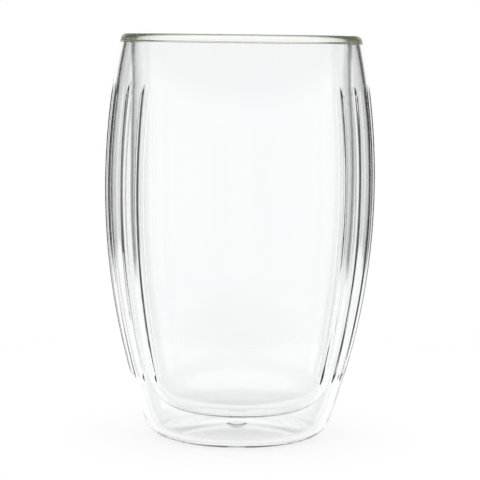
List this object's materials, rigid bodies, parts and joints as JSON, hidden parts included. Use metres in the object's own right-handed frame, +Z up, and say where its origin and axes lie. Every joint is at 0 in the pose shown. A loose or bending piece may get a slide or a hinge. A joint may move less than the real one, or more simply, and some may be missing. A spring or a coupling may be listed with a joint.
{
  "type": "double walled glass cup",
  "caption": "Tall barrel-shaped drinking glass with two walls fused at the rim, sealed air between them, and long pointed flutes down both sides.",
  "frame": {"origin": "centre of the ring that the cup stands on, at the height of the table", "axes": "+Z up along the cup's axis, towards the rim; the two groups of flutes face +X and -X, the plain front faces -Y"},
  "size_m": [0.084, 0.084, 0.125],
  "materials": {
    "outer_glass": "fire polished, clear",
    "inner_glass": "fire polished, clear",
    "rim_glass": "fire polished, clear, pale olive where it is thick",
    "seal_glass": "melted drop, clear"
  },
  "bodies": {
    "root": {"outer_glass": "outer_glass", "inner_glass": "inner_glass", "fused_rim": "rim_glass", "vent_seal": "seal_glass"}
  },
  "joints": []
}
